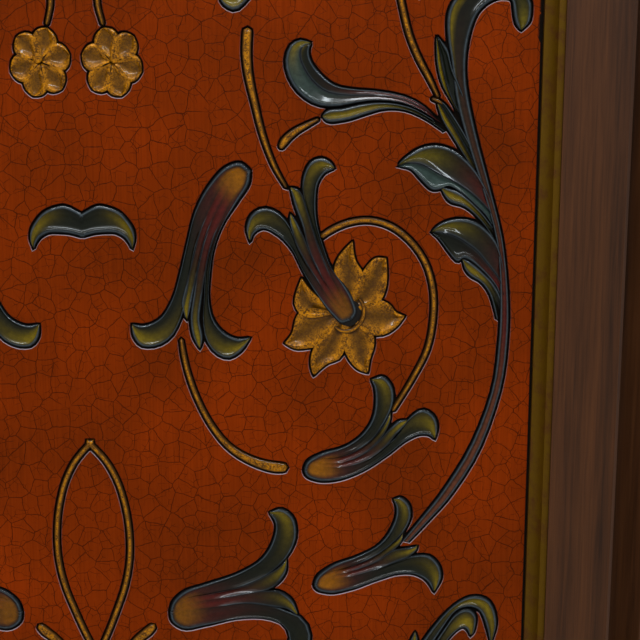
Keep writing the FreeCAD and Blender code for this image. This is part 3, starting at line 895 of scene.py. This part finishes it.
def boardMesh(outlines):
    # The half board as one list of points: the sheet, then the floors, then the walls
    flat, upper, lower, dirt = carveGround(outlines)
    wall, wallFaces, wallTone = wallAlong(flat, cutEdges(upper, lower))
    count = len(flat)
    sheet = np.column_stack([flat, np.zeros(count)])
    floor = np.column_stack([flat, np.full(count, -carver["depth"])])
    # The sheet's first tone channel holds the painted shadow by the slip
    level = np.column_stack([dirt, np.zeros(count)])
    tone = np.vstack([level, np.tile([1, 0], (count, 1)), wallTone])
    return np.vstack([sheet, floor, wall]), np.vstack([upper, lower + count]), wallFaces + 2 * count, tone


def feed(tree, node, inputs):
    # Links a socket and sets anything else as the input's constant value
    for name, value in inputs.items():
        if isinstance(value, bpy.types.NodeSocket):
            tree.links.new(value, node.inputs[name])
        else:
            node.inputs[name].default_value = value


def addNode(tree, kind, inputs=None, **settings):
    node = tree.nodes.new("ShaderNode" + kind)
    for name, value in settings.items():
        setattr(node, name, value)
    feed(tree, node, inputs or {})
    return node


def rgba(hexColour):
    return (*linear(hexColour), 1)


def millimetres(size):
    # Scale of a texture whose features are this large, on coordinates in metres
    return 1000 / size


noiseSpan = (0.3, 0.7)                          # most of a noise lies between these values
asMapped = 1000                                 # size that leaves coordinates as a mapping has scaled them


def noise(tree, place, size, detail, roughness=0.5, distortion=0.0, output="Fac"):
    # Noise whose features are this many millimetres, on coordinates in metres
    inputs = {"Vector": place, "Scale": millimetres(size), "Detail": detail, "Roughness": roughness,
              "Distortion": distortion}
    return addNode(tree, "TexNoise", inputs).outputs[output]


def remap(tree, value, source=(0, 1), target=(0, 1), **settings):
    # The values from one end of source to the other spread over target, and held at its ends
    ends = dict(zip(("From Min", "From Max", "To Min", "To Max"), (*source, *target)))
    return addNode(tree, "MapRange", {"Value": value, **ends}, **settings).outputs["Result"]


def mix(tree, share, first, second, way="MIX"):
    inputs = {"Fac": share, "Color1": first, "Color2": second}
    return addNode(tree, "MixRGB", inputs, blend_type=way).outputs["Color"]


def maths(tree, way, first, second):
    return addNode(tree, "Math", {0: first, 1: second}, operation=way).outputs["Value"]


def bumps(tree, height, strength, distance):
    inputs = {"Height": height, "Strength": strength, "Distance": distance}
    return addNode(tree, "Bump", inputs).outputs["Normal"]


def newMaterial(name):
    material = bpy.data.materials.new(name)
    material.use_nodes = True
    tree = material.node_tree
    return material, tree, tree.nodes["Principled BSDF"]


def objectPlace(tree):
    return addNode(tree, "TexCoord").outputs["Object"]


# Red lacquer over a sanded ground: satin, browned in patches, crazed into a net of fine dark cracks.
# Sizes in millimetres; a crack's width is a share of its cell, and it shows where a noise passes these values
# lip is pale dust on a groove's lip with a painted highlight; groove is the black paint, also used for the
# painted shadow by the slip
lacquer = dict(pale="#722502", deep="#541c02", crack="#140601", lip="#9a9096", groove="#0e0906",
               grain=1.1, grainLength=60, grainTone=(0.82, 1.1), patches=85, sunk=(0.5, 0.7),
               bend=0.0035, bendSize=9, fadeSize=1.7, crackCover=0.95,
               cracks=[dict(size=9.5, width=0.03, shown=(0.24, 0.38)),
                       dict(size=4.8, width=0.034, shown=(0.44, 0.58))],
               roughness=(0.36, 0.54), specular=0.015, bump=(0.35, 0.0002))


def crackNet(tree, place, bent, net):
    # Lines between the cells of a Voronoi pattern, which a slower noise lets fade out
    inputs = {"Vector": bent, "Scale": millimetres(net["size"])}
    cells = addNode(tree, "TexVoronoi", inputs, feature="DISTANCE_TO_EDGE", voronoi_dimensions="2D")
    line = remap(tree, cells.outputs["Distance"], (0, net["width"]), (1, 0))
    fade = noise(tree, place, net["size"] * lacquer["fadeSize"], detail=2)
    return maths(tree, "MULTIPLY", line, remap(tree, fade, net["shown"]))


def crackledLacquer():
    material, tree, shader = newMaterial("crackledRedLacquer")
    place = addNode(tree, "UVMap", uv_map="boardMetres").outputs["UV"]
    grainScale = (millimetres(lacquer["grain"]), millimetres(lacquer["grainLength"]), 1)
    grainSpace = addNode(tree, "Mapping", {"Vector": place, "Scale": grainScale}).outputs["Vector"]
    grain = noise(tree, grainSpace, asMapped, detail=4, roughness=0.65)
    patches = noise(tree, place, lacquer["patches"], detail=4, roughness=0.55)
    patchTone = remap(tree, patches, noiseSpan)
    colour = mix(tree, patchTone, rgba(lacquer["deep"]), rgba(lacquer["pale"]))
    grainTone = remap(tree, grain, noiseSpan, lacquer["grainTone"])
    colour = mix(tree, 1, colour, grainTone, "MULTIPLY")
    wander = noise(tree, place, lacquer["bendSize"], detail=3, output="Color")
    bent = mix(tree, lacquer["bend"], place, wander, "ADD")
    crack = maths(tree, "MAXIMUM", *[crackNet(tree, place, bent, net) for net in lacquer["cracks"]])
    colour = mix(tree, maths(tree, "MULTIPLY", crack, lacquer["crackCover"]), colour, rgba(lacquer["crack"]))
    carved = addNode(tree, "Attribute", attribute_name="paint").outputs["Color"]
    tone = addNode(tree, "SeparateColor", {"Color": carved}).outputs
    # The groove's lip from the paint's green channel: pale dust with a painted highlight
    colour = mix(tree, tone["Green"], colour, rgba(lacquer["lip"]))
    # Black paint down in the groove, and the painted shadow beside the slip, both from the red channel
    colour = mix(tree, remap(tree, tone["Red"], lacquer["sunk"]), colour, rgba(lacquer["groove"]))
    feed(tree, shader, {
        "Base Color": colour,
        "Normal": bumps(tree, maths(tree, "SUBTRACT", grain, crack), *lacquer["bump"]),
        "Roughness": remap(tree, patches, target=lacquer["roughness"]),
        "Specular IOR Level": lacquer["specular"],
    })
    return material


# Oil paint and leaf gilding on carved wood: glossy from old varnish, mottled, with brown dirt in the gilding
polychrome = dict(mottle=2.6, mottleTone=(0.72, 1.25), dirt=4.5, specks=0.9, soil="#2a1606",
                  soiled=(0.88, 1.14), soilCover=0.9, metallic=0.25, roughness=(0.24, 0.48), grit=(0.1, 0.9),
                  bump=0.0006, specular=0.01, coat=0.2, coatRoughness=0.09)


def polychromePaint():
    material, tree, shader = newMaterial("varnishedPolychromePaint")
    place = objectPlace(tree)
    paint = addNode(tree, "Attribute", attribute_name="paint").outputs
    mottle = noise(tree, place, polychrome["mottle"], detail=5, roughness=0.65)
    dirt = noise(tree, place, polychrome["dirt"], detail=6, roughness=0.7)
    specks = noise(tree, place, polychrome["specks"], detail=3, roughness=0.6)
    tone = remap(tree, mottle, noiseSpan, polychrome["mottleTone"])
    colour = mix(tree, 1, paint["Color"], tone, "MULTIPLY")
    gilt = paint["Alpha"]
    soiled = remap(tree, maths(tree, "ADD", dirt, specks), polychrome["soiled"], (0, polychrome["soilCover"]))
    feed(tree, shader, {
        "Base Color": mix(tree, maths(tree, "MULTIPLY", soiled, gilt), colour, rgba(polychrome["soil"])),
        "Metallic": maths(tree, "MULTIPLY", gilt, polychrome["metallic"]),
        "Roughness": remap(tree, dirt, target=polychrome["roughness"]),
        "Normal": bumps(tree, mottle, remap(tree, gilt, target=polychrome["grit"]), polychrome["bump"]),
        "Specular IOR Level": polychrome["specular"],
        "Coat Weight": polychrome["coat"],
        "Coat Roughness": polychrome["coatRoughness"],
    })
    return material


# Stained beech and pine, rubbed dark: long grain with open pores under a thin wax
frameWood = dict(pale="#40230f", deep="#1f0f06", grain=1.6, length=55, figure=16, roughness=(0.32, 0.54))
backWood = dict(pale="#5e4029", deep="#382314", grain=2.4, length=90, figure=30, roughness=(0.55, 0.77))
woodFinish = dict(streaks=(0.7, 1.3), bump=(0.25, 0.0003), specular=0.12)


def stainedWood(name, wood, level=False):
    material, tree, shader = newMaterial(name)
    fine, slow = millimetres(wood["grain"]), millimetres(wood["length"])
    scale = (slow, slow, fine) if level else (fine, fine, slow)
    grainSpace = addNode(tree, "Mapping", {"Vector": objectPlace(tree), "Scale": scale}).outputs["Vector"]
    grain = noise(tree, grainSpace, asMapped, detail=6, roughness=0.6, distortion=0.4)
    figure = noise(tree, grainSpace, asMapped * wood["figure"] / wood["grain"], detail=3, distortion=0.6)
    tone = remap(tree, maths(tree, "ADD", grain, figure), woodFinish["streaks"])
    feed(tree, shader, {
        "Base Color": mix(tree, tone, rgba(wood["deep"]), rgba(wood["pale"])),
        "Roughness": remap(tree, grain, target=wood["roughness"]),
        "Normal": bumps(tree, grain, *woodFinish["bump"]),
        "Specular IOR Level": woodFinish["specular"],
    })
    return material


# Water gilding over red clay on a small moulding: soft metal shine, rubbed through in places
slipGilding = dict(gold="#483103", clay="#3a1c0a", wear=9, rubbed=(0.48, 0.7), metallic=(0.25, 0.05),
                   roughness=(0.32, 0.62), specular=0.06)


def rubbedGilding():
    material, tree, shader = newMaterial("rubbedWaterGilding")
    wear = noise(tree, objectPlace(tree), slipGilding["wear"], detail=7, roughness=0.7)
    rubbed = remap(tree, wear, slipGilding["rubbed"])
    feed(tree, shader, {
        "Base Color": mix(tree, rubbed, rgba(slipGilding["gold"]), rgba(slipGilding["clay"])),
        "Metallic": remap(tree, rubbed, target=slipGilding["metallic"]),
        "Roughness": remap(tree, wear, target=slipGilding["roughness"]),
        "Specular IOR Level": slipGilding["specular"],
    })
    return material


# Cast brass gone brown, and drawn mild steel: duller in patches, with painted shade in the screws' slots,
# where the paint attribute is 1
hingeBrass = dict(bright="#a9823c", dull="#6b4a1e", patches=14, roughness=(0.5, 0.28))
dullSteel = dict(bright="#9a958c", dull="#6a655e", patches=6, roughness=(0.56, 0.34))
metalFinish = dict(patchTone=(0.35, 0.65), slotShade="#0d0b09", metallic=1.0)


def agedMetal(name, metal):
    material, tree, shader = newMaterial(name)
    patches = noise(tree, objectPlace(tree), metal["patches"], detail=6, roughness=0.65)
    tone = remap(tree, patches, metalFinish["patchTone"])
    colour = mix(tree, tone, rgba(metal["dull"]), rgba(metal["bright"]))
    # The slots are darkened as painted shade
    slot = addNode(tree, "Attribute", attribute_name="paint").outputs["Fac"]
    feed(tree, shader, {
        "Base Color": mix(tree, slot, colour, rgba(metalFinish["slotShade"])),
        "Roughness": remap(tree, patches, target=metal["roughness"]),
        "Metallic": metalFinish["metallic"],
    })
    return material


finishes = {
    "lacquered_board": crackledLacquer(),
    "carving": polychromePaint(),
    "frame_wood": stainedWood("stainedBeechWaxed", frameWood),
    "rails": stainedWood("stainedBeechWaxedLevel", frameWood, level=True),
    "backing_wood": stainedWood("stainedPinePlaned", backWood),
    "gilt_wood": rubbedGilding(),
    "hinge_brass": agedMetal("agedCastBrass", hingeBrass),
    "pin_steel": agedMetal("drawnMildSteel", dullSteel),
}
finishes["glide_steel"] = finishes["pin_steel"]
for entry in frame["record"]["subparts"]:
    finish = "rails" if entry["node"].endswith("_rail") else entry["material_slot"]
    materials = frame["nodes"][entry["node"]].data.materials
    materials.clear()
    materials.append(finishes[finish])


def bothHalves(faces, size):
    # The faces of a half, and of its mirror image, whose points come after the half's own
    return np.vstack([faces, faces[:, ::-1] + size])


sheets = carveRepeat()
leafPoints, leafFaces, leafPaint = joinSheets(sheets)
print("half repeat:", len(sheets), "carved sheets,", 2 * len(leafFaces), "triangles")

for name, panel in panels.items():
    for repeat in range(layout["repeats"]):
        here = leafPoints + [0, topOf(repeat), 0]
        points = placeOnPanel(np.vstack([here, here * [-1, 1, 1]]), name)
        faces = bothHalves(leafFaces, len(here))
        makePiece(f"{name}_scrollwork_{repeat + 1}", points, faces, panel["body"], finishes["carving"],
                  paint=np.vstack([leafPaint, leafPaint]))
print("scrollwork on", len(panels), "panels")

halfPoints, halfTriangles, halfWalls, halfTone = boardMesh([outlineOf(sheet) for sheet in sheets])
print("half board:", len(halfTriangles) + 2 * len(halfWalls), "triangles")
panelShift = np.array([0.7, 0.31])              # metres in the lacquer's pattern from board to board


def boardBox(start):
    # Edges and back of the board, as a tray behind the carved face
    thick = boardHigh[1] - boardLow[1]
    rim = [(-boardRight, boardTop), (boardRight, boardTop),
           (boardRight, boardBottom), (-boardRight, boardBottom)]
    points = np.array([(x, z, depth) for depth in (0, -thick) for x, z in rim])
    faces = np.array([[0, 1, 5, 4], [1, 2, 6, 5], [2, 3, 7, 6], [3, 0, 4, 7], [4, 5, 6, 7]])
    return points, faces + start


size = len(halfPoints)
tray, trayFaces = boardBox(2 * size)
flat = np.vstack([halfPoints, halfPoints * [-1, 1, 1], tray])
triangles = bothHalves(halfTriangles, size)
quads = np.vstack([bothHalves(halfWalls, size), trayFaces])
tone = np.vstack([halfTone, halfTone, np.zeros((len(tray), 2))])
boardPaint = np.column_stack([tone, np.zeros(len(tone)), np.ones(len(tone))])
for count, (name, panel) in enumerate(panels.items()):
    board = makePiece(f"{name}_lacquered_board", placeOnPanel(flat, name), [triangles, quads], panel["body"],
                      finishes["lacquered_board"], paint=boardPaint,
                      uv=flat[:, :2] / 1000 + count * panelShift, sharpAngle=ground["sharp"])
    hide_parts(f"{name}_carved_board")
print("boards cut")

# Slotted screws in the hinge leaves, flush but for a slight dome, in millimetres and degrees
screws = dict(levels=[194, 909, 1624], spread=18, fromPin=12.8, leafFace=0.1, radius=2.6, dome=0.05,
              buried=0.04, slotWidth=0.8, slotTurns=[15, 70, -35, 120, 48, -80], sharp=40,
              lines=[0.5, 0.8, 0.98], lip=0.02, along=7)   # shares of the radius, and points along each line


def screwHead():
    # Lines across the round head, closer at the slot, each as long as the circle allows, on a low dome
    edge = screws["slotWidth"] / 2 / screws["radius"]
    half = np.array([edge, edge + screws["lip"], *screws["lines"]])
    a, b = np.meshgrid(np.r_[-half[::-1], half], np.linspace(-1, 1, screws["along"]), indexing="ij")
    b = b * np.sqrt(1 - a**2)
    height = screws["dome"] - (screws["dome"] + screws["buried"]) * (a**2 + b**2) ** 2
    slot = (abs(a) <= edge + screws["lip"] / 2).astype(float)
    points = np.stack([a * screws["radius"], b * screws["radius"], height], -1).reshape(-1, 3)
    return points, slot.ravel(), a.shape


def makeScrews(side, outward, owner):
    # Each head stands on its leaf beside the pin; the leaf of the outer panel is then turned with the panel
    head, slot, shape = screwHead()
    panel = panels["middle" if owner == "middle" else side]
    facing = outward if owner == "middle" else -outward
    grid = gridFaces(*shape) if facing > 0 else gridFaces(*shape)[:, ::-1]
    heights = [level + step for level in screws["levels"] for step in (-screws["spread"], screws["spread"])]
    points, faces = [], []
    for count, (height, degrees) in enumerate(zip(heights, screws["slotTurns"])):
        y, z = turnAbout(head[:, 0], head[:, 1], degrees, (-outward * screws["fromPin"], height))
        points.append(np.column_stack([facing * (head[:, 2] - screws["leafFace"]), y, z]))
        faces.append(grid + count * len(head))
    x, y, z = np.vstack(points).T
    world = np.column_stack([*turnAbout(x, y, panel["turn"], panels[side]["pin"]), z]) / 1000
    paint = np.tile(np.column_stack([slot] * 4), (len(heights), 1))
    makePiece(f"{side}_hinge_{owner}_screws", world, np.vstack(faces), panel["body"], finishes["pin_steel"],
              paint=paint, sharpAngle=screws["sharp"])


for side, outward in (("left", -1), ("right", 1)):
    for owner in ("middle", "outer"):
        makeScrews(side, outward, owner)
print("hinge screws set")

# The floor fades out between two distances, in metres; the world lights the object less than it shows
studio = dict(floor="#cfcdc8", roughness=0.8, half=6, fades=(2.2, 5.0), sky="#f2f2f0", world=0.16)


def plainStage():
    material, tree, shader = newMaterial("paleFloorPaint")
    away = addNode(tree, "VectorMath", {0: objectPlace(tree)}, operation="LENGTH").outputs["Value"]
    shown = remap(tree, away, studio["fades"], (1, 0), interpolation_type="SMOOTHSTEP")
    feed(tree, shader, {
        "Base Color": rgba(studio["floor"]),
        "Roughness": studio["roughness"],
        "Alpha": shown,
    })
    mesh = bpy.data.meshes.new("floor")
    half = studio["half"]
    corners = [(-half, -half, 0), (half, -half, 0), (half, half, 0), (-half, half, 0)]
    mesh.from_pydata(corners, [], [(0, 1, 2, 3)])
    mesh.materials.append(material)
    floor = addObject("floor", mesh)


def whiteWorld():
    # White where the camera, a mirror or glass looks at it, and dim as a light
    world = bpy.data.worlds.new("studioWorld")
    world.use_nodes = True
    tree = world.node_tree
    rays = addNode(tree, "LightPath").outputs
    seen = maths(tree, "MAXIMUM", rays["Is Camera Ray"], rays["Is Glossy Ray"])
    seen = maths(tree, "MAXIMUM", seen, rays["Is Transmission Ray"])
    strength = remap(tree, seen, target=(studio["world"], 1))
    feed(tree, tree.nodes["Background"], {"Color": rgba(studio["sky"]), "Strength": strength})
    bpy.context.scene.world = world


# Soft lights, in metres and watts; the narrow strip is what the varnish mirrors
lights = {
    "keyAbove": dict(place=(0.05, -2.2, 2.75), target=(0.1, 0, 1.2), size=(2.0, 1.2), power=8,
                     colour=(0.93, 0.97, 1.0)),
    "stripAbove": dict(place=(0.3, -2.1, 2.75), target=(0.1, 0, 1.2), size=(3.2, 0.07), power=78,
                       colour=(0.86, 0.95, 1.0)),
    "skyPanel": dict(place=(0, 0, 5), target=(0, 0.01, 0), size=(8, 8), power=260, colour=(1.0, 1.0, 1.0)),
    "fillFront": dict(place=(-1.0, -3.0, 3.3), target=(0, 0, 0.9), size=(2.4, 1.4), power=18,
                      colour=(1.0, 0.98, 0.95)),
    "backSoft": dict(place=(0.5, 3.2, 2.6), target=(0, 0, 1.0), size=(2.5, 2.5), power=90,
                     colour=(1.0, 0.98, 0.96)),
}


def areaLight(name, place, target, size, power, colour):
    lamp = bpy.data.lights.new(name, "AREA")
    lamp.shape = "RECTANGLE"
    lamp.size, lamp.size_y = size
    lamp.energy = power
    lamp.color = colour
    stand = addObject(name, lamp)
    stand.location = place
    stand.rotation_euler = (Vector(target) - Vector(place)).to_track_quat("-Z", "Y").to_euler()


def photoCamera():
    # Stands before the repeat in the photo, as high as its top ray asks
    lens = bpy.data.cameras.new("photoCamera")
    lens.lens = lens.sensor_width * photoView["lens"] / (2 * photoView["middle"])
    lens.clip_start = 0.01
    camera = addObject("photoCamera", lens)
    height = sightTop - topOf(photoView["repeat"]) + photoView["distance"] * math.tan(topRay)
    camera.location = np.array([photoView["across"], boardLow[1] - photoView["distance"], height]) / 1000
    camera.rotation_euler = (math.pi / 2 - photoTilt, 0, 0)
    bpy.context.scene.camera = camera


plainStage()
whiteWorld()
for name, light in lights.items():
    areaLight(name, **light)
photoCamera()
bpy.context.scene.view_settings.view_transform = "Standard"
print("stage, lights and camera")
